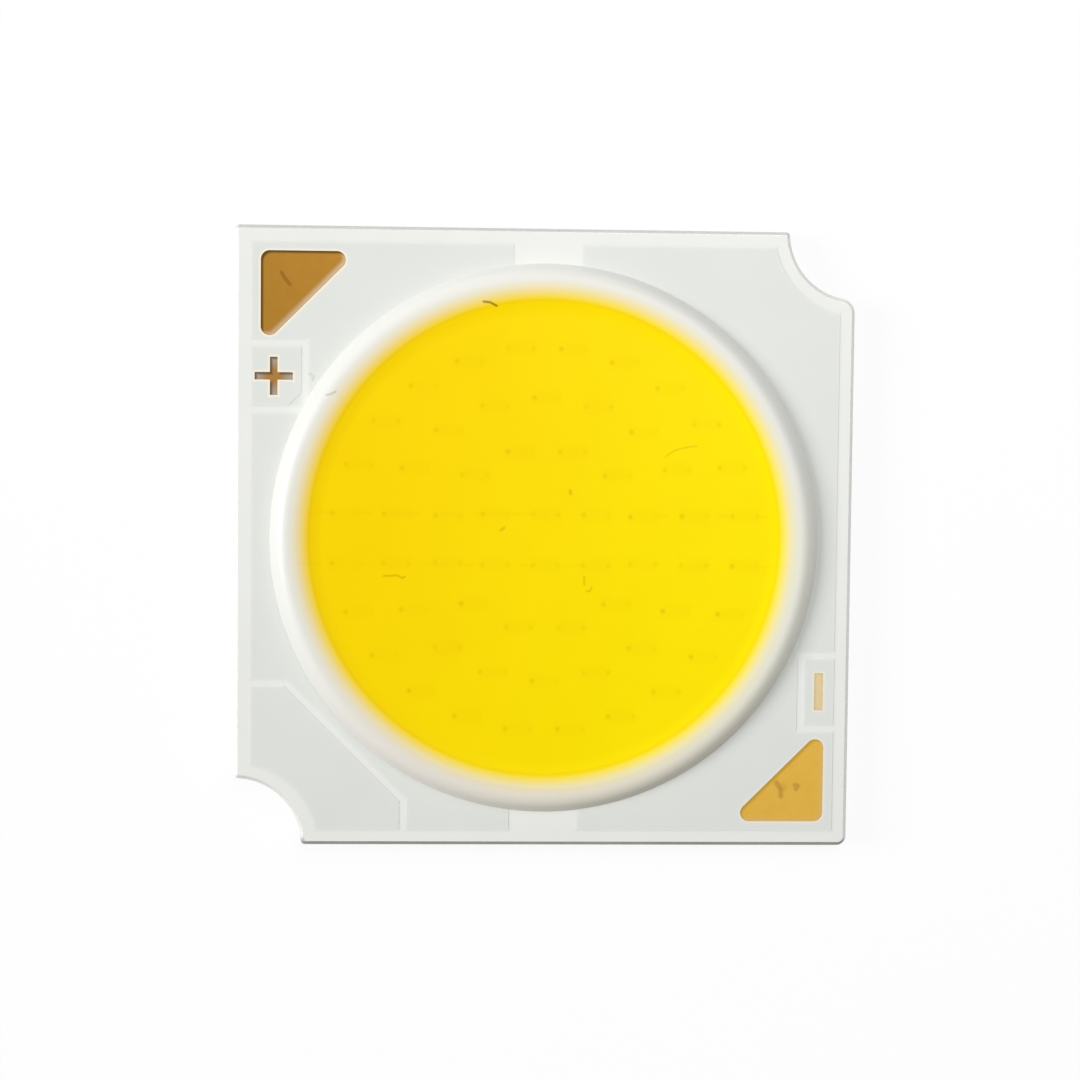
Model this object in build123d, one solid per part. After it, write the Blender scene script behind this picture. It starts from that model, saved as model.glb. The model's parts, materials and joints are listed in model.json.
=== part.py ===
from build123d import *
import math
import os

# Round chip-on-board LED on a square aluminium plate.
# Millimetres. The origin is the centre of the plate's underside, and +Z points out of the emitting face.

# Plate outline
board_side = 19.0
notch_radius = 2.05            # quarter-round screw notches in two opposite corners
notch_lip_radius = 0.12        # rounding where a notch meets an edge
notch_soft_lip_radius = 0.45   # the one lip that is rounded more
sharp_corner_radius = 0.12     # corner beside the positive pad
soft_corner_radius = 0.3       # corner beside the negative pad
edge_break = 0.1               # top edge of the punched plate, broken at 45 degrees

# Layers, from the plate upwards
base_thickness = 0.85
insulation_thickness = 0.09
copper_thickness = 0.035
plating_thickness = 0.005
mask_thickness = 0.025         # over the copper
mask_dip = 0.012               # how far the mask sinks where there is no copper below it
laminate_setback = 0.14        # insulation and mask stop short of the plate's edge
copper_setback = 0.5           # copper stops short of the plate's edge

# Copper areas
rail_gap = 2.1                 # between the two rails, at the middle of the top and bottom edges
island_gap = 0.22              # between an island and the rail beside it

# Solder pads: right-angled triangles in the two whole corners
pad_inset = 0.79               # from the plate's edges to the pad's two short sides
pad_leg = 2.95
pad_corner_radius = 0.27

# Polarity signs and the copper that shows round them on their islands
sign_length = 1.16
sign_stroke = 0.23
minus_stroke = 0.28
plus_pad_clearance = 0.27      # from the positive pad's point to the plus
plus_outer_rim = 0.11          # towards the plate's edge
plus_inner_rim = 0.25
plus_end_rim = 0.325
plus_island_chamfer = 0.4
minus_pad_clearance = 0.52     # from the negative pad's point to the minus
minus_outer_rim = 0.33
minus_inner_rim = 0.32
minus_end_rim = 0.45

# Island in the lower left corner, round the notch
corner_island_width = 5.07     # along the bottom edge
corner_island_height = 4.93    # along the left edge
corner_island_slant = 3.55     # legs of the corner cut off towards the dam

# Dam ring, and the layers that end under it, from its outer foot inwards
dam_edge_margin = 1.08         # from the plate's edge to the dam's outer foot
dam_crest_setback = 0.58       # from the outer foot to the crest
dam_height = 0.45              # crest above the mask
dam_flank_drop = 0.215         # from the crest down to the straight outer flank
dam_flank_offset = 0.42        # from the crest out to the straight outer flank
dam_wall_drop = 0.02           # from the crest down to the straight inner wall
dam_wall_offset = 0.2          # from the crest in to the straight inner wall
mask_cover = 0.5               # how far the dam lies on the mask
bond_ledge = 0.55              # bare copper under the dam, where the wires land
copper_pullback = 0.1          # copper behind the edge of the insulation's window
window_cover = 0.15            # how far the dam reaches over that edge, on to the plate

# Phosphor gel
gel_drop = 0.1                 # flat of the gel below the dam's crest
meniscus_rise = 0.07
meniscus_width = 0.85

# LED chips: a middle block of two rows inside flattened rings
chip_length = 0.9
chip_width = 0.4
chip_height = 0.15
die_attach_thickness = 0.02
ring_count = 4                 # the middle block counts as the first ring
chips_per_ring_step = 6        # each ring has this many more chips than the one inside it
chip_edge_margin = 0.96        # from the dam's foot to the outermost chip centres
ring_flattening = 0.3          # how much shorter a ring is than it is wide, measured as a radius
block_row_spacing = 1.55
outermost_end_chips = 1        # at each end of a half ring, chips that belong to the inner string
second_end_chips = 2

# Bond wires, drawn with four flats
wire_width = 0.03
wire_rise = 0.2                # from the first landing up to the bend
stitch_length = 0.07           # flat of the wire on its second landing
bond_inset = 0.065             # from a chip's ends to its bond points

# Levels, radii and places that follow from the sizes above
half_side = board_side / 2
insulation_top = base_thickness + insulation_thickness
copper_top = insulation_top + copper_thickness
plating_top = copper_top + plating_thickness
mask_top = copper_top + mask_thickness
crest_level = mask_top + dam_height
wall_level = crest_level - dam_wall_drop
flank_level = crest_level - dam_flank_drop
gel_level = crest_level - gel_drop
chip_top = base_thickness + die_attach_thickness + chip_height
dam_outer_radius = half_side - dam_edge_margin
dam_crest_radius = dam_outer_radius - dam_crest_setback
mask_radius = dam_outer_radius - mask_cover
copper_radius = mask_radius - bond_ledge
window_radius = copper_radius - copper_pullback
dam_foot_radius = window_radius - window_cover
wall_radius = dam_crest_radius - dam_wall_offset
flank_radius = dam_crest_radius + dam_flank_offset
landing_radius = copper_radius + bond_ledge / 2
ring_pitch = (dam_foot_radius - chip_edge_margin) / ring_count
pad_corner = half_side - pad_inset
sign_half = sign_length / 2
minus_half = minus_stroke / 2
plus_x = plus_outer_rim + sign_half + copper_setback - half_side
plus_y = pad_corner - pad_leg - plus_pad_clearance - sign_half
minus_x = half_side - copper_setback - minus_outer_rim - minus_half
minus_y = pad_leg + minus_pad_clearance + sign_half - pad_corner


def layer(face, level, thickness):
    """Flat layer of one outline, standing on a level."""
    return extrude(Pos(0, 0, level) * face, thickness)


def board_outline(setback):
    """Plate outline drawn in by a setback, with its corners rounded by what the setback leaves of them."""
    edge = half_side - setback
    cut = notch_radius + setback
    face = Rectangle(2 * edge, 2 * edge)
    for corner in (half_side, -half_side):
        face -= Pos(corner, corner) * Circle(cut)
    lip = half_side - math.sqrt(cut**2 - setback**2)
    roundings = {
        (-edge, edge): sharp_corner_radius,
        (edge, -edge): soft_corner_radius,
        (lip, edge): notch_lip_radius,
        (edge, lip): notch_soft_lip_radius,
        (-lip, -edge): notch_lip_radius,
        (-edge, -lip): notch_lip_radius,
    }
    for (x, y), radius in roundings.items():
        if radius > setback:
            corner = face.vertices().sort_by_distance((x, y, 0))[0]
            face = fillet(corner, radius - setback)
    return face


def area(*points):
    """Flat area inside straight sides."""
    return make_face(Polyline(*points, close=True))


def pad_opening():
    """Opening over the positive pad."""
    inner = pad_corner - pad_leg
    triangle = area((-pad_corner, pad_corner), (-inner, pad_corner), (-pad_corner, inner))
    return fillet(triangle.vertices(), pad_corner_radius)


def plus_opening():
    """Opening in the shape of a plus."""
    strokes = Rectangle(sign_length, sign_stroke) + Rectangle(sign_stroke, sign_length)
    return Pos(plus_x, plus_y) * strokes


def minus_opening():
    """Opening in the shape of an upright minus."""
    return Pos(minus_x, minus_y) * Rectangle(minus_stroke, sign_length)


def plus_area():
    """Area of the island under the plus, run on past the left edge."""
    right = plus_x + sign_half + plus_inner_rim
    top = plus_y + sign_half + plus_end_rim
    bottom = plus_y - sign_half - plus_end_rim
    cut = plus_island_chamfer
    return area(
        (-board_side, top), (right, top), (right, bottom + cut), (right - cut, bottom), (-board_side, bottom)
    )


def minus_area():
    """Area of the island under the minus, run on past the right edge."""
    left = minus_x - minus_half - minus_inner_rim
    top = minus_y + sign_half + minus_end_rim
    bottom = minus_y - sign_half - minus_end_rim
    return area((left, top), (board_side, top), (board_side, bottom), (left, bottom))


def corner_area():
    """Area of the lower left island, run on past the edges."""
    top = corner_island_height - half_side
    right = corner_island_width - half_side
    cut = corner_island_slant
    return area(
        (-board_side, top), (right - cut, top), (right, top - cut), (right, -board_side),
        (-board_side, -board_side)
    )


def island_face(island_area):
    """Copper island: the part of an area that lies on the board."""
    return island_area & board_outline(copper_setback)


def rail_face(side, *island_areas):
    """Copper rail of the left (-1) or right (1) half, cleared round its islands."""
    half = Pos(side * (board_side + rail_gap) / 2, 0) * Rectangle(board_side, board_side)
    face = (board_outline(copper_setback) & half) - Circle(copper_radius)
    for island_area in island_areas:
        face -= offset(island_area, island_gap, kind=Kind.INTERSECTION)
    return face


def base_plate():
    """Aluminium plate with its top edge broken."""
    plate = extrude(board_outline(0), base_thickness)
    return chamfer(plate.faces().sort_by(Axis.Z)[-1].edges(), edge_break)


def insulation_sheet():
    """Insulation with the round window that leaves the plate bare under the chips."""
    sheet = board_outline(laminate_setback) - Circle(window_radius)
    return layer(sheet, base_thickness, insulation_thickness)


def copper_layer(face):
    """Copper of one outline."""
    return layer(face, insulation_top, copper_thickness)


def plating(face):
    """Gold plating of one outline, on the copper."""
    return layer(face, copper_top, plating_thickness)


def solder_mask(copper_faces, copper_solids, openings):
    """Mask that fills between the copper areas, covers them and, outside the dam, dips between them."""
    outline = board_outline(laminate_setback)
    mask = layer(outline - Circle(mask_radius), insulation_top, mask_top - insulation_top)
    dips = layer(outline - [Circle(dam_outer_radius), *copper_faces], mask_top - mask_dip, mask_dip)
    cuts = [layer(opening, copper_top, mask_thickness) for opening in openings]
    return mask - [*copper_solids, dips, *cuts]


def wall_point(level):
    """Point, as radius and height, where the dam's straight inner wall passes a level."""
    share = (level - base_thickness) / (wall_level - base_thickness)
    return (dam_foot_radius + share * (wall_radius - dam_foot_radius), level)


def turned(*lines):
    """Solid of revolution about Z of a closed outline, drawn as radius and height."""
    section = make_face([edge for line in lines for edge in line.edges()])
    return revolve(Plane.XZ * section, Axis.Z)


def dam_ring(seats):
    """Silicone bead with a rounded crest and straight flanks, moulded over what it covers."""
    crest = (dam_crest_radius, crest_level)
    wall_end = (wall_radius, wall_level)
    flank_end = (flank_radius, flank_level)
    sides = Polyline(
        flank_end, (dam_outer_radius, mask_top), (mask_radius, mask_top), (mask_radius, insulation_top),
        (window_radius, insulation_top), (window_radius, base_thickness), (dam_foot_radius, base_thickness),
        wall_end
    )
    inner_crest = TangentArc(crest, wall_end, tangent=(-1, 0))
    outer_crest = TangentArc(crest, flank_end, tangent=(1, 0))
    return turned(inner_crest, outer_crest, sides) - seats


def phosphor_gel(buried):
    """Gel inside the dam, creeping up its wall, with room for the chips and wires."""
    rim = wall_point(gel_level + meniscus_rise)
    flat_edge = (rim[0] - meniscus_width, gel_level)
    foot = (dam_foot_radius, base_thickness)
    section = Polyline(flat_edge, (0, gel_level), (0, base_thickness), foot, rim, flat_edge)
    return turned(section) - buried


def ring_places(ring):
    """Chip centres of the upper half of a ring, from left to right."""
    half_count = chips_per_ring_step * ring // 2
    width = ring_pitch * ring
    height = width - ring_flattening
    angles = [math.pi * (half_count - place - 0.5) / half_count for place in range(half_count)]
    return [(width * math.cos(angle), height * math.sin(angle)) for angle in angles]


def block_places():
    """Chip centres of the upper row of the middle block."""
    return [(column * ring_pitch, block_row_spacing / 2) for column in (-1, 0, 1)]


def string_places():
    """Chip centres of the four strings, from the top of the board down, each from left to right."""
    outermost = ring_places(ring_count)
    second = ring_places(ring_count - 1)
    outer = outermost[outermost_end_chips:-outermost_end_chips] + second[second_end_chips:-second_end_chips]
    upper_half = block_places() + outermost + second
    for ring in range(2, ring_count - 1):
        upper_half += ring_places(ring)
    inner = [place for place in upper_half if place not in outer]
    upper = [sorted(outer), sorted(inner)]
    lower = [[(x, -y) for x, y in string] for string in reversed(upper)]
    return upper + lower


def led_chips(places):
    """Chips of one string."""
    chip = extrude(Rectangle(chip_length, chip_width), chip_height)
    level = base_thickness + die_attach_thickness
    return [Pos(x, y, level) * chip for x, y in places]


def die_attach(places):
    """Adhesive under the chips of one string."""
    bed = extrude(Rectangle(chip_length, chip_width), die_attach_thickness)
    return [Pos(x, y, base_thickness) * bed for x, y in places]


def bond_wire(start, end):
    """Wire that rises from its first landing and slopes down to a stitch on its second."""
    across = Vector(end[0] - start[0], end[1] - start[1], 0)
    half = wire_width / 2
    tip = across.length + half
    step = end[2] - start[2]
    outline = area(
        (-half, 0), (-half, wire_rise), (tip, step), (tip - stitch_length, step),
        (half, wire_rise - wire_width), (half, 0)
    )
    side_view = Plane(start, x_dir=across, z_dir=across.cross(Vector(0, 0, 1)))
    return extrude(side_view * outline, half, both=True)


def rail_landing(side, y):
    """Point on the bare ledge of the left (-1) or right (1) rail."""
    return (side * math.sqrt(landing_radius**2 - y**2), y, plating_top)


def bond_wires(places):
    """Wires of one string, from the left rail from chip to chip to the right rail."""
    reach = chip_length / 2 - bond_inset
    landings = [rail_landing(-1, places[0][1])]
    for x, y in places:
        landings += [(x - reach, y, chip_top), (x + reach, y, chip_top)]
    landings.append(rail_landing(1, places[-1][1]))
    pairs = zip(landings[::2], landings[1::2])
    return [bond_wire(start, end) for start, end in pairs]


plus_island = plus_area()
minus_island = minus_area()
corner_island = corner_area()
copper_faces = {
    "positive_rail": rail_face(-1, plus_island, corner_island),
    "negative_rail": rail_face(1, minus_island),
    "plus_island": island_face(plus_island),
    "minus_island": island_face(minus_island),
    "corner_island": island_face(corner_island),
}
positive_opening = pad_opening()
openings = {
    "positive_pad": positive_opening,
    "negative_pad": Rot(0, 0, 180) * positive_opening,
    "plus_sign": plus_opening(),
    "minus_sign": minus_opening(),
}
copper = {name: copper_layer(face) for name, face in copper_faces.items()}
nodes = {"base_plate": base_plate(), "insulation_sheet": insulation_sheet(), **copper}
nodes.update({name: plating(face) for name, face in openings.items()})
nodes["solder_mask"] = solder_mask(copper_faces.values(), copper.values(), openings.values())

dam_seats = []
for polarity in ("positive", "negative"):
    rail = f"{polarity}_rail"
    ledge = plating(copper_faces[rail] & Circle(mask_radius))
    nodes[f"{polarity}_bond_ledge"] = ledge
    dam_seats += [copper[rail], ledge]

buried = []
for number, places in enumerate(string_places(), start=1):
    beds = die_attach(places)
    chips = led_chips(places)
    wires = bond_wires(places)
    nodes[f"die_attach_{number}"] = Compound(children=beds)
    nodes[f"led_chips_{number}"] = Compound(children=chips)
    nodes[f"bond_wires_{number}"] = Compound(children=wires)
    dam_seats += [wires[0], wires[-1]]
    buried += beds + chips + wires

nodes["dam_ring"] = dam_ring(dam_seats)
nodes["phosphor_gel"] = phosphor_gel(buried)

os.makedirs("parts", exist_ok=True)
for name, solid in nodes.items():
    export_step(solid, f"parts/{name}.step")
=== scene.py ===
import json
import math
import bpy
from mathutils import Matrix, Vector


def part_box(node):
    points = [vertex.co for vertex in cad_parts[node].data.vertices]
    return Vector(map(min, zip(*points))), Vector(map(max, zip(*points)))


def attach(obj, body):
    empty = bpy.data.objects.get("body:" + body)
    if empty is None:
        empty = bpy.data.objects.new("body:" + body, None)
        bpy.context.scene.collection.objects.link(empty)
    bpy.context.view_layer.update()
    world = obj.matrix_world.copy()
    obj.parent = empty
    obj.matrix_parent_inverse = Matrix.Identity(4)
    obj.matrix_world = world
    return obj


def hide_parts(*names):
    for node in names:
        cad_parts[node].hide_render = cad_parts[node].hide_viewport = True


bl_info = {
    "name": "COB LED looks",
    "version": (1, 0, 0),
    "blender": (4, 5, 0),
    "location": "3D View > Sidebar > COB LED",
    "description": "Finishes, silicone pieces and studio for a round chip-on-board LED",
    "category": "Object",
}

from typing import Callable, NamedTuple, Sequence

import bmesh
import bpy
from bpy.props import FloatProperty, FloatVectorProperty, IntProperty, PointerProperty

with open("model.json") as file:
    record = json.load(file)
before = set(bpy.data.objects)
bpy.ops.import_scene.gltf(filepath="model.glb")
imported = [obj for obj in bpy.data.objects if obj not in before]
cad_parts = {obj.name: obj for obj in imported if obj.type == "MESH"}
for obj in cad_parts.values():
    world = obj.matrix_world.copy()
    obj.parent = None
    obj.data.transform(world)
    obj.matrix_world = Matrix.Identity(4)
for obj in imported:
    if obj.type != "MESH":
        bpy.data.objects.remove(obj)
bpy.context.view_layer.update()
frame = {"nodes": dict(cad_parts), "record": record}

MM = 0.001
BODY = "root"

# Corners of the CAD pieces that finishes and new pieces line up with
PLATE_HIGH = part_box("base_plate")[1]
MASK_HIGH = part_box("solder_mask")[1]
LEDGE_LOW, LEDGE_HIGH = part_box("positive_bond_ledge")
RAIL_LOW, RAIL_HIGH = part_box("positive_rail")
DAM_LOW, DAM_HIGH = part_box("dam_ring")
INSULATION_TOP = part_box("insulation_sheet")[1].z

# Steps along the curved sections, and where the flat of the gel is divided
WALL_STEPS = 8
FLANK_STEPS = 16
RIM_STEPS = 20
FLAT_DIVISIONS = (0.75, 0.5, 0.25, 0.0)

# New meshes: points closer than this are welded, and edges that bend more than this stay sharp
WELD_DISTANCE = 1e-7
SHARP_ANGLE = math.radians(35)

# The poured gel in millimetres: its middle, its stretch and the painted shade line at its edge
POUR_MIDDLE = (-0.023, 0.038)
POUR_STRETCH = (1.005, 0.995)
RIM_SHADE_OFFSET = 0.04
RIM_SHADE_WIDTH = 0.1

# Spans in millimetres over which a tone comes or goes
GEL_SHADE_SPAN = (-9.0, 8.0)
CHIP_EDGE_SPAN = (-0.12, 0.12)
WIRE_SPAN = (0.02, 0.08)
DAM_TRACE_SPAN = (7.7, 8.3)
DAM_SHADE_SPAN = (3.0, 11.5)
DAM_LOWER_SPAN = (2.0, 8.4)
PLATE_SIDE_SPAN = (0.02, 0.03)
PLATE_LOWER_SPAN = (-0.3, -0.08)
PLATE_UPPER_SPAN = (-0.2, -0.05)
FLOOR_WHITE_SPAN = (40.0, 220.0)

# How much y counts beside x in the painted shade that makes the gel deeper yellow towards the upper left
GEL_SHADE_TILT = -0.3

# Strength of what shows through the gel: a chip's bond points at either end of chance, its outline, and wires
FIRST_DOT_STRENGTH = (0.22, 0.58)
SECOND_DOT_STRENGTH = (0.28, 0.04)
OUTLINE_STRENGTH = 0.075
WIRE_STRENGTH = 0.13

# Share of the mask's relief that is grain, and strength of the painted shade along the plate's upper edge
MASK_GRAIN_SHARE = 0.35
UPPER_EDGE_STRENGTH = 0.45

# Places of the colour sockets of a Mix node
MIX_FACTOR, MIX_FIRST, MIX_SECOND = 0, 6, 7
MIX_RESULT = 2

# Studio: the rays that meet plain white, the lamps with their settings, and the camera
WHITE = (1.0, 1.0, 1.0)
WHITE_PATHS = ("Is Camera Ray", "Is Glossy Ray", "Is Transmission Ray")
LAMPS = ("key", "fill")
LAMP_ITEMS = ("distance", "size", "turn", "rise", "level")
SENSOR_WIDTH = 36.0
CLIP_START = 1 * MM

# Marks on the surfaces: points in millimetres, width in millimetres and strength
MASK_HAIRS = [([(-7.22, 4.98), (-7.1, 4.9), (-7.13, 4.8)], 0.07, 0.2)]
DAM_HAIRS = [([(-6.68, 4.34), (-6.56, 4.36), (-6.4, 4.44)], 0.05, 0.4)]
PROBE_MARKS = [([(-8.09, 8.05), (-7.98, 7.86), (-7.83, 7.69)], 0.08, 0.45)]
TOUCH_MARKS = [
    ([(7.26, -7.5), (7.4, -7.72), (7.41, -7.93)], 0.11, 0.36),
    ([(7.46, -7.6), (7.5, -7.68)], 0.16, 0.14),
    ([(7.84, -7.58), (7.93, -7.6), (7.88, -7.7)], 0.11, 0.36),
]
LINT = [
    ([(-1.95, 7.21), (-1.75, 7.19), (-1.56, 7.09)], 0.055, 0.75),
    ([(-4.92, -1.14), (-4.5, -1.12), (-4.36, -1.2), (-4.28, -1.16)], 0.05, 0.28),
    ([(1.19, -1.13), (1.2, -1.36)], 0.06, 0.22),
    ([(1.27, -1.56), (1.38, -1.55), (1.42, -1.44)], 0.06, 0.2),
    ([(-1.37, 0.28), (-1.27, 0.36)], 0.07, 0.25),
    ([(0.73, 1.5), (0.75, 1.43)], 0.09, 0.25),
    ([(3.64, 2.58), (3.95, 2.78), (4.35, 2.88), (4.6, 2.9)], 0.04, 0.2),
]


def srgb(red, green, blue):
    """Linear colour of an eight-bit screen colour."""
    levels = [channel / 255 for channel in (red, green, blue)]
    return tuple(c / 12.92 if c <= 0.04045 else ((c + 0.055) / 1.055) ** 2.4 for c in levels)


# Tones that a finish is multiplied by
MASK_SMUDGE = srgb(249, 249, 249)
MASK_DUST = srgb(160, 158, 150)
GOLD_STAIN = srgb(222, 206, 182)
# Painted shadow along the upper and left walls of the gold openings
GOLD_WALL_SHADOW = srgb(96, 84, 66)
GOLD_SCRATCH = srgb(160, 122, 78)
METAL_LINE = srgb(205, 204, 200)
# Painted shade along the plate's lower and upper edges
METAL_EDGE_SHADE = srgb(158, 152, 146)
METAL_UNDERSIDE = srgb(208, 209, 212)
DAM_TRACE = srgb(255, 251, 234)
# Painted shade: a slight warm tint on the dam's lower right
DAM_LOWER_RIGHT_SHADE = srgb(255, 255, 247)
# Warmer tint towards the bottom of the dam
DAM_LOWER_TINT = srgb(254, 247, 240)
DAM_DUST = srgb(165, 158, 148)
# Painted shade along the line where the gel's rim begins
GEL_RIM_SHADE = srgb(246, 232, 210)
GEL_CLOUD = srgb(252, 249, 240)
GEL_POWDER = srgb(250, 245, 200)
GEL_LINT = srgb(130, 110, 60)

# Tones of the floor
PAPER_TONES = (srgb(250, 250, 250), srgb(254, 254, 254))

# Plain matter: two tones, grain in millimetres, share of metal and roughness
INSULATION = (srgb(226, 224, 214), srgb(238, 236, 228), 0.06, 0.0, 0.5)
INNER_MATTER = {
    "copper": (srgb(184, 115, 78), srgb(205, 140, 100), 0.08, 0.9, 0.35),
    "gold_plating": (srgb(214, 168, 80), srgb(232, 192, 110), 0.05, 0.9, 0.3),
    "die_adhesive": (srgb(205, 205, 200), srgb(225, 225, 220), 0.05, 0.0, 0.45),
    "chip_sapphire": (srgb(170, 190, 205), srgb(195, 208, 215), 0.1, 0.2, 0.15),
    "bond_gold": (srgb(226, 180, 84), srgb(240, 205, 120), 0.03, 0.95, 0.25),
}


def length(label, about, millimetres):
    """Length that a user can set, given in millimetres and kept in metres."""
    return FloatProperty(
        name=label, description=about, default=millimetres * MM, unit="LENGTH", precision=6, min=0
    )


def angle(label, about, degrees):
    """Angle that a user can set, given in degrees."""
    return FloatProperty(name=label, description=about, default=math.radians(degrees), subtype="ANGLE")


def share(label, about, part):
    """Part of a whole that a user can set."""
    return FloatProperty(name=label, description=about, default=part, min=0, max=1, subtype="FACTOR")


def count(label, about, number, least):
    """Whole number that a user can set."""
    return IntProperty(name=label, description=about, default=number, min=least)


def colour(label, about, red, green, blue):
    """Colour that a user can set, given as an eight-bit screen colour."""
    return FloatVectorProperty(
        name=label, description=about, default=srgb(red, green, blue), subtype="COLOR", size=3, min=0, max=1
    )


class BoardLooks(bpy.types.PropertyGroup):
    """Sizes and finishes of the flat layers."""

    notch_radius: length("Notch radius", "Radius of the two screw notches", 2.05)
    slant: length("Corner island slant", "Legs of the corner cut off the lower left island", 3.55)
    gap: length("Island gap", "Gap between an island and its rail", 0.22)
    relief: length("Relief softness", "Width of the slope between the mask's two levels", 0.24)
    pad_rounding: length("Pad rounding", "Radius of the pads' corners", 0.27)
    plus_stroke: length("Plus stroke", "Width of the strokes of the plus", 0.23)
    halo: length("Halo", "Width of the bare white lip round an opening", 0.09)
    # Width of the painted shadow along an opening's upper and left walls; it also sets the reach of the
    # painted highlight along its lower and right walls
    wall_shadow: length("Wall shadow", "Width of the dark line along an opening's upper and left walls", 0.07)
    over_copper: colour("Mask over copper", "White mask where copper lies below it", 223, 225, 220)
    over_gap: colour("Mask over gaps", "White mask where no copper lies below it", 234, 235, 230)
    lip: colour("Mask lip", "White mask round an opening", 247, 236, 214)
    tarnished: colour("Tarnished gold", "Plating of the positive pad", 152, 109, 36)
    bright: colour("Bright gold", "Plating of the negative pad", 209, 167, 67)
    brown: colour("Brown gold", "Plating of the plus sign", 150, 110, 56)
    pale: colour("Pale gold", "Plating of the minus sign", 208, 188, 144)
    grime: colour("Grime", "Dull film on the arms of the plus", 149, 144, 133)
    # Colour of the painted highlight along an opening's lower and right walls
    wall_highlight: colour("Wall highlight", "Painted highlight along an opening's lower and right walls", 182, 165, 142)
    metal: colour("Aluminium", "Bare plate", 231, 231, 228)


class BeadSizes(bpy.types.PropertyGroup):
    """Section and colour of the silicone dam."""

    crest_setback: length("Crest setback", "From the outer foot in to the crest", 0.58)
    flank_offset: length("Flank offset", "From the crest out to the straight flank", 0.42)
    flank_drop: length("Flank drop", "From the crest down to the straight flank", 0.215)
    wall_offset: length("Wall offset", "From the crest in to the straight wall", 0.2)
    wall_drop: length("Wall drop", "From the crest down to the straight wall", 0.007)
    wall_lean: length("Wall lean", "From the wall's foot out to its top", 0.52)
    copper_radius: length("Copper radius", "Inner edge of the copper under the dam", 7.37)
    window_radius: length("Window radius", "Edge of the insulation's window", 7.27)
    segments: count("Segments", "Steps round the ring", 256, 32)
    white: colour("Silicone white", "Colour of the dam", 229, 229, 225)


class GelLooks(bpy.types.PropertyGroup):
    """Phosphor gel and the chips that show through it."""

    meniscus_rise: length("Meniscus rise", "How far the gel climbs the dam", 0.09)
    meniscus_width: length("Meniscus width", "Width of the curved rim of the gel", 0.85)
    fade_start: length("Fade start", "Radius where the gel thins out over the dam", 7.18)
    fade_end: length("Fade end", "Radius where no gel is left on the dam", 7.91)
    ring_pitch: length("Ring pitch", "Distance between rings of chips", 1.54)
    flattening: length("Ring flattening", "How much shorter a ring is than it is wide", 0.3)
    row_spacing: length("Row spacing", "Between the two rows of the middle block", 1.55)
    bond_offset: length("Bond offset", "From a chip's centre to its bond points", 0.385)
    chip_length: length("Chip length", "Length of an LED chip", 0.9)
    chip_width: length("Chip width", "Width of an LED chip", 0.4)
    dot_radius: length("Dot radius", "Size of a bond point seen through the gel", 0.125)
    rings: count("Rings", "Rings of chips, the middle block included", 4, 2)
    ring_step: count("Ring step", "How many more chips a ring has than the one inside it", 6, 1)
    yellow: colour("Phosphor yellow", "Colour of the deep gel", 255, 231, 2)
    # The deep yellow is painted shade on the gel's upper left
    deep: colour("Deep yellow", "Colour of the gel on its darker side", 250, 213, 2)
    shade: colour("Chip shade", "Colour of the bond points seen through the gel", 226, 190, 0)


class StudioSetup(bpy.types.PropertyGroup):
    """Camera, lamps and surroundings."""

    camera_place: FloatVectorProperty(
        name="Camera place", description="Where the camera stands", subtype="TRANSLATION", precision=6,
        default=(-2.5403 * MM, 2.7725 * MM, 60 * MM)
    )
    camera_turn: FloatVectorProperty(
        name="Camera turn", description="How the camera is turned", subtype="EULER",
        default=(math.radians(-2.7318), math.radians(-2.2861), math.radians(0.5735))
    )
    camera_lens: FloatProperty(name="Lens", description="Focal length in millimetres", default=64.187, min=1)
    key_distance: length("Key distance", "From the board to the main lamp", 300)
    key_size: length("Key size", "Side of the main lamp", 125)
    key_turn: angle("Key turn", "Direction of the main lamp round the board", 175)
    key_rise: angle("Key rise", "Height of the main lamp as an angle", 32)
    key_level: share("Key level", "Share of the light that the main lamp gives", 0.43)
    fill_distance: length("Fill distance", "From the board to the second lamp", 75)
    fill_size: length("Fill size", "Side of the second lamp", 50)
    fill_turn: angle("Fill turn", "Direction of the second lamp round the board", 60)
    fill_rise: angle("Fill rise", "Height of the second lamp as an angle", 60)
    fill_level: share("Fill level", "Share of the light that the second lamp gives", 0.41)
    sky_level: share("Sky level", "Even light from all round", 0.22)
    floor_side: length("Floor side", "Side of the floor", 1200)
    floor_white: share("Floor white", "Share of plain white in what is seen of the floor", 0.9)


class Value:
    """Output socket of a node, with operators that add Math nodes to its tree."""

    def __init__(self, graph, socket):
        self.graph = graph
        self.socket = socket

    def math(self, operation, *others):
        """Result of a Math node on this value."""
        return self.graph.node("ShaderNodeMath", {"operation": operation}, [self, *others])

    def __add__(self, other):
        return self.math("ADD", other)

    __radd__ = __add__

    def __sub__(self, other):
        return self.math("SUBTRACT", other)

    def __rsub__(self, other):
        return -self + other

    def __mul__(self, other):
        return self.math("MULTIPLY", other)

    __rmul__ = __mul__

    def __truediv__(self, other):
        return self.math("DIVIDE", other)

    def __neg__(self):
        return self.math("MULTIPLY", -1.0)

    def __abs__(self):
        return self.math("ABSOLUTE")

    def upper(self, other):
        """The larger of two values."""
        return self.math("MAXIMUM", other)

    def lower(self, other):
        """The smaller of two values."""
        return self.math("MINIMUM", other)

    def above(self, limit):
        """1 where the value is above a limit and 0 elsewhere."""
        return self.math("GREATER_THAN", limit)

    def hypot(self, other):
        """Length of the vector of two values."""
        return (self * self + other * other).math("SQRT")

    def rise(self, low, high):
        """Smooth step from 0 at low to 1 at high."""
        settings = {"interpolation_type": "SMOOTHSTEP"}
        return self.graph.node("ShaderNodeMapRange", settings, [self, low, high])

    def between(self, low, high):
        """Straight line from low where the value is 0 to high where it is 1."""
        return self * (high - low) + low


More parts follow.
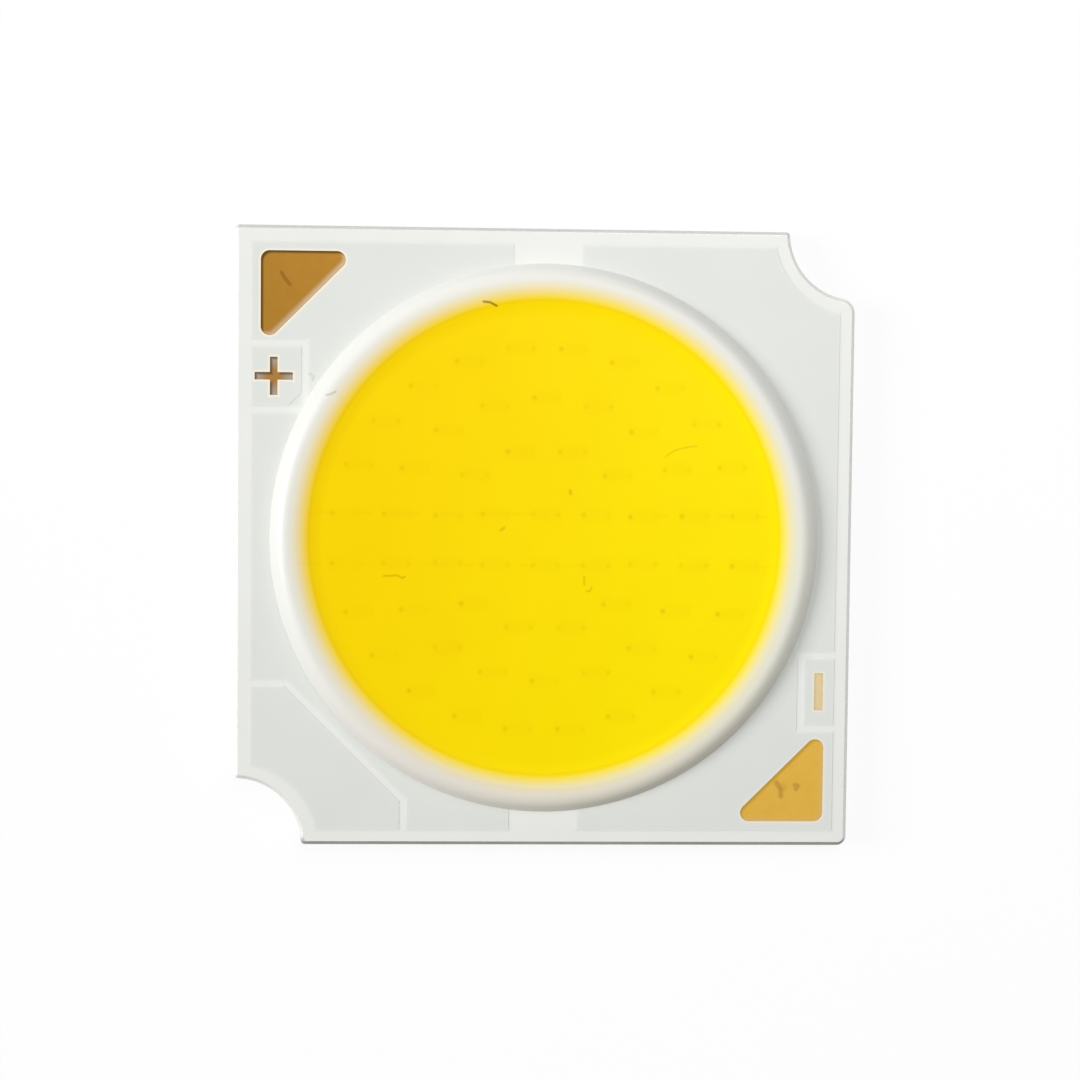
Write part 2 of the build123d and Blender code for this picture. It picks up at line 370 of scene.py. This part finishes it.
class Graph:
    """Node tree under construction."""

    def __init__(self, tree):
        self.tree = tree

    def node(self, kind, settings=None, inputs=(), output=0):
        """Output of a new node, its settings made first and its sockets fed by place or name."""
        node = self.tree.nodes.new(kind)
        for name, value in (settings or {}).items():
            setattr(node, name, value)
        for key, value in inputs.items() if isinstance(inputs, dict) else enumerate(inputs):
            self.feed(node.inputs[key], value)
        return Value(self, node.outputs[output])

    def feed(self, socket, value):
        """Link or set one socket."""
        if isinstance(value, Value):
            self.tree.links.new(value.socket, socket)
        elif socket.type == "RGBA":
            socket.default_value = (*value, 1.0)
        else:
            socket.default_value = value

    def meets_white(self):
        """1 on the rays that meet plain white and 0 on those that carry light."""
        camera, glossy, through = [self.node("ShaderNodeLightPath", output=name) for name in WHITE_PATHS]
        return camera.upper(glossy).upper(through)

    def show_mix(self, end, amount, first, second):
        """Let the tree's end show a mix of two shaders."""
        blend = self.node("ShaderNodeMixShader", {}, [amount, first, second])
        self.feed(self.tree.nodes[end].inputs["Surface"], blend)


class Finish(Graph):
    """Material under construction, with coordinates in millimetres."""

    def __init__(self, name):
        self.material = bpy.data.materials.new(name)
        self.material.use_nodes = True
        super().__init__(self.material.node_tree)
        self.shader = self.tree.nodes["Principled BSDF"]
        self.place = self.node("ShaderNodeTexCoord", output="Object")
        self.x, self.y, self.z = (
            self.node("ShaderNodeSeparateXYZ", {}, [self.place], axis) / MM for axis in "XYZ"
        )

    def mix(self, first, second, where, strength=1.0, blend="MIX"):
        """First colour that turns into a second one where a value is 1, up to a strength."""
        settings = {"data_type": "RGBA", "blend_type": blend}
        inputs = {MIX_FACTOR: where * strength, MIX_FIRST: first, MIX_SECOND: second}
        return self.node("ShaderNodeMix", settings, inputs, MIX_RESULT)

    def tint(self, first, second, where, strength=1.0):
        """First colour that is multiplied by a second one where a value is 1, up to a strength."""
        return self.mix(first, second, where, strength, "MULTIPLY")

    def noise(self, grain, detail=2.0, stretch=None):
        """Noise from 0 to 1 with a grain size in millimetres."""
        place = self.place
        if stretch:
            place = self.node("ShaderNodeMapping", {}, {"Vector": self.place, "Scale": stretch})
        inputs = {"Vector": place, "Scale": 1 / (grain * MM), "Detail": detail}
        return self.node("ShaderNodeTexNoise", {}, inputs)

    def specks(self, spacing, radius, chance):
        """Sparse round specks: 1 on a speck and 0 elsewhere."""
        cells = {"Vector": self.place, "Scale": 1 / (spacing * MM), "Randomness": 0.9}
        distance = self.node("ShaderNodeTexVoronoi", {}, cells, "Distance")
        chosen = self.node("ShaderNodeTexVoronoi", {}, cells, "Color")
        pick = self.node("ShaderNodeSeparateColor", {}, [chosen], "Red").above(1 - chance)
        return (1 - distance.rise(0.5 * radius / spacing, radius / spacing)) * pick

    def strokes(self, points, width):
        """Soft line through points: 1 along its middle and 0 beyond its width."""
        pairs = [line_distance(self.x, self.y, *pair) for pair in zip(points, points[1:])]
        return 1 - nearest(pairs).rise(0.25 * width, width)

    def marked(self, first, second, marks):
        """First colour that is multiplied by a second one along marks, each with its own strength."""
        for points, width, strength in marks:
            first = self.tint(first, second, self.strokes(points, width), strength)
        return first

    def bump(self, height, depth):
        """Surface normal raised by a height from 0 to 1 over a depth in millimetres."""
        return self.node("ShaderNodeBump", {}, {"Height": height, "Distance": depth * MM, "Strength": 1.0})

    def shade(self, **sockets):
        """Feed the shader's sockets, named with underscores, and give back the material."""
        for name, value in sockets.items():
            self.feed(self.shader.inputs[name.replace("_", " ")], value)
        return self.material


def nearest(distances):
    """Smallest of some distances."""
    result = distances[0]
    for distance in distances[1:]:
        result = result.lower(distance)
    return result


def line_distance(x, y, start, end):
    """Distance from the straight line between two points."""
    run, climb = end[0] - start[0], end[1] - start[1]
    dx, dy = x - start[0], y - start[1]
    along = ((dx * run + dy * climb) / (run**2 + climb**2)).upper(0.0).lower(1.0)
    return (dx - along * run).hypot(dy - along * climb)


def box_distance(x, y, low, high):
    """Distance from an upright box given in metres, negative inside it."""
    middle, half = (low + high) / (2 * MM), (high - low) / (2 * MM)
    return (abs(x - middle.x) - half.x).upper(abs(y - middle.y) - half.y)


def pad_distance(x, y, looks):
    """Distance from the positive pad's rounded triangle, negative inside it."""
    low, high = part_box("positive_pad")
    radius = looks.pad_rounding / MM
    left, right = low.x / MM + radius, high.x / MM - radius
    bottom, top = low.y / MM + radius, high.y / MM - radius
    corners = [(left, top), (right, top), (left, bottom), (left, top)]
    sides = [line_distance(x, y, *pair) for pair in zip(corners, corners[1:])]
    slope = (x - right - y + top) * math.sqrt(0.5)
    outside = (left - x).upper(y - top).upper(slope).above(0.0)
    return nearest(sides) * outside - radius


def negative_pad_distance(x, y, looks):
    """Distance from the negative pad, which is the positive one turned half round."""
    return pad_distance(-x, -y, looks)


def plus_distance(x, y, looks):
    """Distance from the plus sign, negative inside it."""
    low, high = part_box("plus_sign")
    middle, half = (low + high) / 2, (high - low) / 2
    strokes = []
    for axis in (0, 1):
        reach = half.copy()
        reach[axis] = looks.plus_stroke / 2
        strokes.append(box_distance(x, y, middle - reach, middle + reach))
    return nearest(strokes)


def minus_distance(x, y, looks):
    """Distance from the minus sign, negative inside it."""
    return box_distance(x, y, *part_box("minus_sign"))


class Opening(NamedTuple):
    """Opening in the mask: its outline, its plating's tone, how strong its wear, painted wall shadow and
    painted wall highlight are, and its marks.
    """

    outline: Callable
    tone: str
    lip: float
    # Strengths of the painted shadow along the upper and left walls and of the painted highlight along the
    # lower and right walls
    wall_shadow: float
    wall_highlight: float = 0.0
    grime: float = 0.0
    marks: Sequence = ()


OPENINGS = {
    "positive_pad": Opening(pad_distance, "tarnished", lip=0.9, wall_shadow=0.8, wall_highlight=0.6, marks=PROBE_MARKS),
    "negative_pad": Opening(
        negative_pad_distance, "bright", lip=0.45, wall_shadow=0.3, wall_highlight=0.3, marks=TOUCH_MARKS
    ),
    "plus_sign": Opening(plus_distance, "brown", lip=0.9, wall_shadow=0.7, grime=0.8),
    "minus_sign": Opening(minus_distance, "pale", lip=0.45, wall_shadow=0.12, wall_highlight=0.2),
}


def bare_share(finish, looks):
    """How far the mask lies on bare insulation, from 0 over copper to 1 over a gap."""
    x, y = finish.x, finish.y
    half_side = PLATE_HIGH.x / MM
    copper_edge = -RAIL_LOW.x / MM
    setback = half_side - copper_edge
    notch = (x - half_side).hypot(y - half_side).lower((x + half_side).hypot(y + half_side))
    outside = (abs(x).upper(abs(y)) - copper_edge).upper(looks.notch_radius / MM + setback - notch)
    bare = outside.upper(-RAIL_HIGH.x / MM - abs(x))
    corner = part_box("corner_island")[1] / MM
    slant = corner.x + corner.y - looks.slant / MM
    islands = [
        box_distance(x, y, *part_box("plus_island")),
        box_distance(x, y, *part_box("minus_island")),
        (x - corner.x).upper(y - corner.y).upper((x + y - slant) * math.sqrt(0.5)),
    ]
    half_gap = looks.gap / (2 * MM)
    for island in islands:
        bare = bare.upper(half_gap - abs(island - half_gap))
    half_relief = looks.relief / (2 * MM)
    return bare.rise(-half_relief, half_relief)


def mask_finish(looks):
    """White solder mask, lighter and lower where no copper lies below it, with a lip round its openings."""
    finish = Finish("white_mask")
    bare = bare_share(finish, looks)
    grain = finish.noise(grain=0.09, detail=3)
    smudges = finish.noise(grain=2.4).rise(0.35, 0.75)
    dust = finish.specks(spacing=2.6, radius=0.05, chance=0.1)
    halo = looks.halo / MM
    white = finish.mix(looks.over_copper, looks.over_gap, bare)
    white = finish.tint(white, MASK_SMUDGE, smudges, strength=0.4)
    for opening in OPENINGS.values():
        lip = 1 - opening.outline(finish.x, finish.y, looks).rise(0.3 * halo, halo)
        white = finish.mix(white, looks.lip, lip, strength=opening.lip)
    white = finish.tint(white, MASK_DUST, dust, strength=0.35)
    white = finish.marked(white, MASK_DUST, MASK_HAIRS)
    height = grain * MASK_GRAIN_SHARE + (1 - bare) * (1 - MASK_GRAIN_SHARE)
    return finish.shade(
        Base_Color=white, Roughness=grain.between(0.42, 0.56), Specular_IOR_Level=0.3,
        Normal=finish.bump(height, depth=0.006)
    )


def gold_finish(node, looks):
    """Gold plating with stains, painted shadow along its upper and left walls and painted highlight along its
    lower and right ones.
    """
    finish = Finish("gold_" + node)
    opening, x, y = OPENINGS[node], finish.x, finish.y
    low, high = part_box(node)
    middle, half = (low + high) / (2 * MM), (high.y - low.y) / (2 * MM)
    shadow_reach = looks.wall_shadow / MM
    highlight_reach = 1.3 * shadow_reach
    shadow_blur = 0.6 * shadow_reach
    highlight_blur = 1.2 * shadow_reach
    stain = finish.noise(grain=0.45, detail=5).rise(0.3, 0.75)
    pits = finish.noise(grain=0.05)
    arms = (x - middle.x).hypot(y - middle.y).rise(0.25 * half, 0.9 * half)
    # Painted shadow along the upper and left walls and painted highlight along the lower and right walls of
    # the opening
    upper_walls = opening.outline(x - shadow_reach, y + shadow_reach, looks)
    lower_walls = opening.outline(x + highlight_reach, y - highlight_reach, looks)
    wall_shadow = upper_walls.rise(-shadow_blur, shadow_blur)
    # The film is a painted highlight along the lower and right walls
    film = lower_walls.rise(-highlight_blur, highlight_blur)
    gold = finish.tint(getattr(looks, opening.tone), GOLD_STAIN, stain, strength=0.3)
    gold = finish.mix(gold, looks.grime, arms, strength=opening.grime)
    gold = finish.mix(gold, looks.wall_highlight, film, strength=opening.wall_highlight)
    gold = finish.tint(gold, GOLD_WALL_SHADOW, wall_shadow, strength=opening.wall_shadow)
    gold = finish.marked(gold, GOLD_SCRATCH, opening.marks)
    return finish.shade(
        Base_Color=gold, Metallic=0.85, Roughness=stain.between(0.3, 0.4) + pits * 0.08,
        Normal=finish.bump(pits, depth=0.0015)
    )


def metal_finish(looks):
    """Rolled aluminium with fine lines on its flats, drag marks on its punched sides and painted shade along
    its lower and upper edges.
    """
    finish = Finish("plate_aluminium")
    half_side = PLATE_HIGH.y / MM
    side = finish.z.rise(*PLATE_SIDE_SPAN)
    rolled = finish.noise(grain=0.07, detail=4, stretch=(1, 0.03, 1))
    dragged = finish.noise(grain=0.1, detail=3, stretch=(1, 1, 0.08))
    lines = rolled * (1 - side) + dragged * side
    # Painted shade along the lower edge and, weaker, along the upper edge, made patchy by noise
    lower_edge = (-finish.y - half_side).rise(*PLATE_LOWER_SPAN)
    upper_edge = (finish.y - half_side).rise(*PLATE_UPPER_SPAN) * UPPER_EDGE_STRENGTH
    patchy = finish.noise(grain=1.5, detail=3).between(0.6, 1.0)
    edge_shade = lower_edge.upper(upper_edge) * patchy
    tone = finish.tint(looks.metal, METAL_LINE, lines.rise(0.35, 0.8), strength=side.between(0.6, 0.2))
    tone = finish.tint(tone, METAL_EDGE_SHADE, edge_shade)
    tone = finish.tint(tone, METAL_UNDERSIDE, 1 - side, strength=0.6)
    return finish.shade(
        Base_Color=tone, Metallic=side.between(0.9, 0.2), Roughness=lines.between(0.34, 0.54),
        Normal=finish.bump(lines, depth=0.002)
    )


def grained_finish(name, first, second, grain, metallic, roughness):
    """Plain matter with a fine grain between two tones."""
    finish = Finish(name)
    speckle = finish.noise(grain, detail=3)
    tone = finish.mix(first, second, speckle.rise(0.3, 0.7))
    return finish.shade(
        Base_Color=tone, Metallic=metallic, Roughness=speckle.between(roughness, roughness + 0.1),
        Normal=finish.bump(speckle, depth=0.02 * grain)
    )


def pour_radius(finish):
    """Distance from the middle of the poured gel, which is a little off centre and not quite round."""
    across = (finish.x - POUR_MIDDLE[0]) * POUR_STRETCH[0]
    along = (finish.y - POUR_MIDDLE[1]) * POUR_STRETCH[1]
    return across.hypot(along)


def gel_yellow(finish, looks):
    """Yellow of the gel, with painted shade that makes it deeper to the upper left and darkest along the line
    where its rim begins.
    """
    # Painted shade: the gel is deeper yellow towards the upper left
    lean = (finish.x + GEL_SHADE_TILT * finish.y).rise(*GEL_SHADE_SPAN)
    # Painted shade along the line where the rim begins
    rim_shade_radius = looks.fade_start / MM + RIM_SHADE_OFFSET
    line = 1 - abs(pour_radius(finish) - rim_shade_radius).rise(0.0, RIM_SHADE_WIDTH)
    return finish.tint(finish.mix(looks.deep, looks.yellow, lean), GEL_RIM_SHADE, line, strength=0.4)


def thin_rim(finish, looks):
    """How little gel lies on the dam, from 0 where it is deep to 1 where there is none."""
    return pour_radius(finish).rise(looks.fade_start / MM, looks.fade_end / MM)


def silicone_finish(bead, looks):
    """White silicone with a slight warm painted shade to the lower right, warmer towards the bottom, and a
    thin film of gel on its inner side.
    """
    finish = Finish("dam_silicone")
    ripple = finish.noise(grain=0.8)
    dust = finish.specks(spacing=2.2, radius=0.04, chance=0.1)
    trace = 1 - pour_radius(finish).rise(*DAM_TRACE_SPAN)
    # Painted shade: a slight warm tint to the lower right
    lower_right = (finish.x - finish.y).rise(*DAM_SHADE_SPAN)
    # Warmer towards the bottom
    lower = (-finish.y).rise(*DAM_LOWER_SPAN)
    white = finish.tint(bead.white, DAM_TRACE, trace, strength=0.3)
    white = finish.tint(white, DAM_LOWER_RIGHT_SHADE, lower_right)
    white = finish.mix(gel_yellow(finish, looks), white, thin_rim(finish, looks))
    white = finish.tint(white, DAM_DUST, dust, strength=0.3)
    white = finish.marked(white, DAM_DUST, DAM_HAIRS)
    white = finish.tint(white, DAM_LOWER_TINT, lower, strength=0.8)
    return finish.shade(
        Base_Color=white, Roughness=ripple.between(0.3, 0.42), Specular_IOR_Level=0.3,
        Normal=finish.bump(ripple, depth=0.004)
    )


def chip_marks(finish, looks, centre_x, centre_y):
    """Shade of the chip about a centre: two bond points that differ by chance, and a faint outline."""
    dx, dy = finish.x - centre_x, finish.y - centre_y
    offset = looks.bond_offset / MM
    dot = looks.dot_radius / MM
    seed = finish.node("ShaderNodeCombineXYZ", {}, [centre_x, centre_y])
    chance = finish.node("ShaderNodeTexWhiteNoise", {"noise_dimensions": "2D"}, {"Vector": seed}, "Value")
    first = 1 - (dx + offset).hypot(dy).rise(0.1 * dot, dot)
    second = 1 - (dx - offset).hypot(dy).rise(0.1 * dot, dot)
    outline = (abs(dx) - looks.chip_length / (2 * MM)).upper(abs(dy) - looks.chip_width / (2 * MM))
    ghost = 1 - outline.rise(*CHIP_EDGE_SPAN)
    dots = first * chance.between(*FIRST_DOT_STRENGTH) + second * chance.between(*SECOND_DOT_STRENGTH)
    return dots + ghost * OUTLINE_STRENGTH


def ring_marks(finish, looks, ring):
    """Shade of the chips of one flattened ring."""
    step = 2 * math.pi / (looks.ring_step * ring)
    width = ring * looks.ring_pitch / MM
    height = width - looks.flattening / MM
    turn = (finish.y / height).math("ARCTAN2", finish.x / width)
    snapped = ((turn / step).math("FLOOR") + 0.5) * step
    return chip_marks(finish, looks, width * snapped.math("COSINE"), height * snapped.math("SINE"))


def block_marks(finish, looks):
    """Shade of the middle block of two rows of three chips."""
    pitch = looks.ring_pitch / MM
    column = (finish.x / pitch).math("ROUND").upper(-1.0).lower(1.0) * pitch
    row = finish.y.math("SIGN") * (looks.row_spacing / (2 * MM))
    return chip_marks(finish, looks, column, row)


def wire_marks(finish, looks):
    """Shade of the wires along the two middle rows of chips, which come and go."""
    beside = abs(abs(finish.y) - looks.row_spacing / (2 * MM))
    seen = finish.noise(grain=0.5).rise(0.4, 0.6)
    return (1 - beside.rise(*WIRE_SPAN)) * seen * WIRE_STRENGTH


def gel_finish(looks, bead):
    """Yellow phosphor gel that thins out over the dam's wall, with the chips below and some lint on top."""
    finish = Finish("phosphor_silicone")
    marks = block_marks(finish, looks).upper(wire_marks(finish, looks))
    for ring in range(2, looks.rings + 1):
        marks = marks.upper(ring_marks(finish, looks, ring))
    powder = finish.noise(grain=0.06, detail=3)
    cloud = finish.noise(grain=2.0, detail=3)
    yellow = finish.mix(gel_yellow(finish, looks), looks.shade, marks)
    yellow = finish.tint(yellow, GEL_CLOUD, cloud.rise(0.4, 0.7), strength=0.3)
    yellow = finish.tint(yellow, GEL_POWDER, powder.rise(0.4, 0.8), strength=0.15)
    yellow = finish.mix(yellow, bead.white, thin_rim(finish, looks))
    yellow = finish.marked(yellow, GEL_LINT, LINT)
    return finish.shade(
        Base_Color=yellow, Roughness=powder.between(0.34, 0.44), Specular_IOR_Level=0.06,
        Normal=finish.bump(powder, depth=0.001)
    )


def spun_piece(name, section, segments):
    """Closed smooth piece made by turning a section of radii and heights about the axis."""
    mesh = bpy.data.meshes.new(name)
    form = bmesh.new()
    points = [form.verts.new((radius, 0, height)) for radius, height in section]
    edges = [form.edges.new(pair) for pair in zip(points, points[1:])]
    if section[0][0] and section[-1][0]:
        edges.append(form.edges.new((points[-1], points[0])))
    bmesh.ops.spin(
        form, geom=points + edges, cent=(0, 0, 0), axis=(0, 0, 1), angle=2 * math.pi, steps=segments,
        use_merge=True
    )
    bmesh.ops.remove_doubles(form, verts=form.verts, dist=WELD_DISTANCE)
    bmesh.ops.recalc_face_normals(form, faces=form.faces)
    form.to_mesh(mesh)
    form.free()
    mesh.shade_smooth()
    mesh.set_sharp_from_angle(angle=SHARP_ANGLE)
    piece = bpy.data.objects.new(name, mesh)
    bpy.context.scene.collection.objects.link(piece)
    return piece


def crest_arc(crest, end, steps):
    """Points of the arc that leaves a crest level and reaches an end below it, the crest left out."""
    run, drop = end[0] - crest[0], crest[1] - end[1]
    radius = (run**2 + drop**2) / (2 * drop)
    turn = 2 * math.atan2(drop, abs(run))
    side = math.copysign(1, run)
    angles = [turn * step / steps for step in range(1, steps + 1)]
    return [(crest[0] + side * radius * math.sin(a), crest[1] - radius * (1 - math.cos(a))) for a in angles]


def bead_points(bead):
    """Crest and the top and foot of the inner wall of the dam, as radii and heights."""
    crest = (DAM_HIGH.x - bead.crest_setback, DAM_HIGH.z)
    wall_end = (crest[0] - bead.wall_offset, crest[1] - bead.wall_drop)
    wall_foot = (wall_end[0] - bead.wall_lean, DAM_LOW.z)
    return crest, wall_end, wall_foot


def rim_curve(rim, level, looks, slope):
    """Points of the gel's rim from the dam in: they start with the dam's slope and end level."""
    curve = []
    for step in range(RIM_STEPS, -1, -1):
        part = step / RIM_STEPS
        lift = looks.meniscus_rise * part**2 * (3 - 2 * part)
        lean = looks.meniscus_width * slope * part**2 * (part - 1)
        curve.append((rim[0] - (1 - part) * looks.meniscus_width, level + lift + lean))
    return curve


def dress(nodes, material):
    """Give CAD nodes a finish."""
    for name in nodes:
        for slot in frame["nodes"][name].material_slots:
            slot.material = material


def nodes_of(slot):
    """CAD nodes that take their finish from a slot of the record."""
    return [part["node"] for part in frame["record"]["subparts"] if part["material_slot"] == slot]


def settle(piece, material, node):
    """Finish a new piece, let it ride on the board and let it stand for its CAD node."""
    piece.data.materials.append(material)
    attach(piece, BODY)
    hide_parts(node)


class COB_OT_plate(bpy.types.Operator):
    """Finish the aluminium plate and the edge of the insulation"""

    bl_idname = "cob.plate"
    bl_label = "Plate and insulation"

    def execute(self, context):
        dress(["base_plate"], metal_finish(context.scene.cob_board))
        dress(["insulation_sheet"], grained_finish("insulation", *INSULATION))
        return {"FINISHED"}


class COB_OT_mask(bpy.types.Operator):
    """Finish the solder mask"""

    bl_idname = "cob.mask"
    bl_label = "Solder mask"

    def execute(self, context):
        dress(["solder_mask"], mask_finish(context.scene.cob_board))
        return {"FINISHED"}


class COB_OT_plating(bpy.types.Operator):
    """Finish the gold pads and the polarity signs"""

    bl_idname = "cob.plating"
    bl_label = "Pads and signs"

    def execute(self, context):
        for node in OPENINGS:
            dress([node], gold_finish(node, context.scene.cob_board))
        return {"FINISHED"}


class COB_OT_dam(bpy.types.Operator):
    """Model the silicone dam as one smooth bead"""

    bl_idname = "cob.dam"
    bl_label = "Dam ring"

    def execute(self, context):
        bead = context.scene.cob_bead
        crest, wall_end, wall_foot = bead_points(bead)
        flank_end = (crest[0] + bead.flank_offset, crest[1] - bead.flank_drop)
        mask_radius = -LEDGE_LOW.x
        underside = [
            (DAM_HIGH.x, MASK_HIGH.z), (mask_radius, MASK_HIGH.z), (mask_radius, LEDGE_HIGH.z),
            (bead.copper_radius, LEDGE_HIGH.z), (bead.copper_radius, INSULATION_TOP),
            (bead.window_radius, INSULATION_TOP), (bead.window_radius, DAM_LOW.z), wall_foot
        ]
        inner = crest_arc(crest, wall_end, WALL_STEPS)
        outer = crest_arc(crest, flank_end, FLANK_STEPS)
        ring = spun_piece("dam_bead", [*reversed(inner), crest, *outer, *underside], bead.segments)
        settle(ring, silicone_finish(bead, context.scene.cob_gel), "dam_ring")
        return {"FINISHED"}


class COB_OT_gel(bpy.types.Operator):
    """Model the phosphor gel with its curved rim"""

    bl_idname = "cob.gel"
    bl_label = "Phosphor gel"

    def execute(self, context):
        looks, bead = context.scene.cob_gel, context.scene.cob_bead
        _, rim, foot = bead_points(bead)
        level = rim[1] - looks.meniscus_rise
        slope = math.tan(2 * math.atan2(bead.wall_drop, bead.wall_offset))
        curve = rim_curve(rim, level, looks, slope)
        flat = [(curve[-1][0] * part, level) for part in FLAT_DIVISIONS]
        fill = spun_piece("phosphor_fill", [(0.0, foot[1]), foot, *curve, *flat], bead.segments)
        settle(fill, gel_finish(looks, bead), "phosphor_gel")
        return {"FINISHED"}


class COB_OT_inner(bpy.types.Operator):
    """Finish the copper, chips and wires under the mask and the gel"""

    bl_idname = "cob.inner"
    bl_label = "Copper, chips and wires"

    def execute(self, context):
        for slot, matter in INNER_MATTER.items():
            hidden = [name for name in nodes_of(slot) if name not in OPENINGS]
            dress(hidden, grained_finish(slot, *matter))
        return {"FINISHED"}


def make_floor(setup):
    """White floor under the plate that keeps a soft share of the shadow."""
    mesh = bpy.data.meshes.new("floor")
    form = bmesh.new()
    bmesh.ops.create_grid(form, x_segments=1, y_segments=1, size=setup.floor_side / 2)
    form.to_mesh(mesh)
    form.free()
    floor = bpy.data.objects.new("floor", mesh)
    bpy.context.scene.collection.objects.link(floor)
    finish = Finish("floor_paper")
    paper = finish.mix(*PAPER_TONES, finish.noise(grain=3.0, detail=3))
    finish.shade(Base_Color=paper, Roughness=0.9, Specular_IOR_Level=0.0)
    far = finish.x.hypot(finish.y).rise(*FLOOR_WHITE_SPAN)
    seen = finish.meets_white() * far.between(setup.floor_white, 1.0)
    white = finish.node("ShaderNodeEmission", {}, {"Color": WHITE, "Strength": 1.0})
    finish.show_mix("Material Output", seen, Value(finish, finish.shader.outputs[0]), white)
    mesh.materials.append(finish.material)


def make_sky(scene, setup):
    """Even sky that looks white and lights the board softly."""
    sky = bpy.data.worlds.new("studio_sky")
    sky.use_nodes = True
    scene.world = sky
    graph = Graph(sky.node_tree)
    graph.tree.nodes.remove(graph.tree.nodes["Background"])
    light = graph.node("ShaderNodeBackground", {}, {"Color": WHITE, "Strength": setup.sky_level})
    white = graph.node("ShaderNodeBackground", {}, {"Color": WHITE, "Strength": 1.0})
    graph.show_mix("World Output", graph.meets_white(), light, white)


def make_lamp(scene, name, distance, size, turn, rise, level):
    """Soft square lamp that lights the flat board to a level."""
    data = bpy.data.lights.new(name, "AREA")
    data.shape = "SQUARE"
    data.size = size
    data.energy = level * (math.pi * distance) ** 2 / math.sin(rise)
    lamp = bpy.data.objects.new(name, data)
    scene.collection.objects.link(lamp)
    reach = distance * math.cos(rise)
    lamp.location = (reach * math.cos(turn), reach * math.sin(turn), distance * math.sin(rise))
    lamp.rotation_euler = (-lamp.location).to_track_quat("-Z", "Y").to_euler()


def make_camera(scene, setup):
    """Camera almost straight above the board."""
    data = bpy.data.cameras.new("camera")
    data.lens = setup.camera_lens
    data.sensor_width = SENSOR_WIDTH
    data.clip_start = CLIP_START
    camera = bpy.data.objects.new("camera", data)
    scene.collection.objects.link(camera)
    camera.location = setup.camera_place
    camera.rotation_euler = setup.camera_turn
    scene.camera = camera


class COB_OT_stage(bpy.types.Operator):
    """Set up the floor, the lamps, the sky and the camera"""

    bl_idname = "cob.stage"
    bl_label = "Studio"

    def execute(self, context):
        setup = context.scene.cob_studio
        make_floor(setup)
        make_sky(context.scene, setup)
        for lamp in LAMPS:
            make_lamp(context.scene, lamp, *(getattr(setup, f"{lamp}_{item}") for item in LAMP_ITEMS))
        make_camera(context.scene, setup)
        context.scene.view_settings.view_transform = "Standard"
        return {"FINISHED"}


OPERATORS = (
    COB_OT_plate, COB_OT_mask, COB_OT_plating, COB_OT_dam, COB_OT_gel, COB_OT_inner, COB_OT_stage
)


class COB_PT_panel(bpy.types.Panel):
    """Steps that dress the board"""

    bl_idname = "COB_PT_panel"
    bl_label = "COB LED"
    bl_space_type = "VIEW_3D"
    bl_region_type = "UI"
    bl_category = "COB LED"

    def draw(self, context):
        for operator in OPERATORS:
            self.layout.operator(operator.bl_idname)


SETTINGS = {"cob_board": BoardLooks, "cob_bead": BeadSizes, "cob_gel": GelLooks, "cob_studio": StudioSetup}
CLASSES = (*SETTINGS.values(), *OPERATORS, COB_PT_panel)


def register():
    """Add the settings, the operators and the panel."""
    for cls in CLASSES:
        bpy.utils.register_class(cls)
    for name, group in SETTINGS.items():
        setattr(bpy.types.Scene, name, PointerProperty(type=group))


def unregister():
    """Take the settings, the operators and the panel away again."""
    for name in SETTINGS:
        delattr(bpy.types.Scene, name)
    for cls in reversed(CLASSES):
        bpy.utils.unregister_class(cls)


def main():
    """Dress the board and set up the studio."""
    register()
    for step in (
        bpy.ops.cob.plate, bpy.ops.cob.mask, bpy.ops.cob.plating, bpy.ops.cob.dam, bpy.ops.cob.gel,
        bpy.ops.cob.inner, bpy.ops.cob.stage
    ):
        step()


if __name__ == "__main__":
    main()
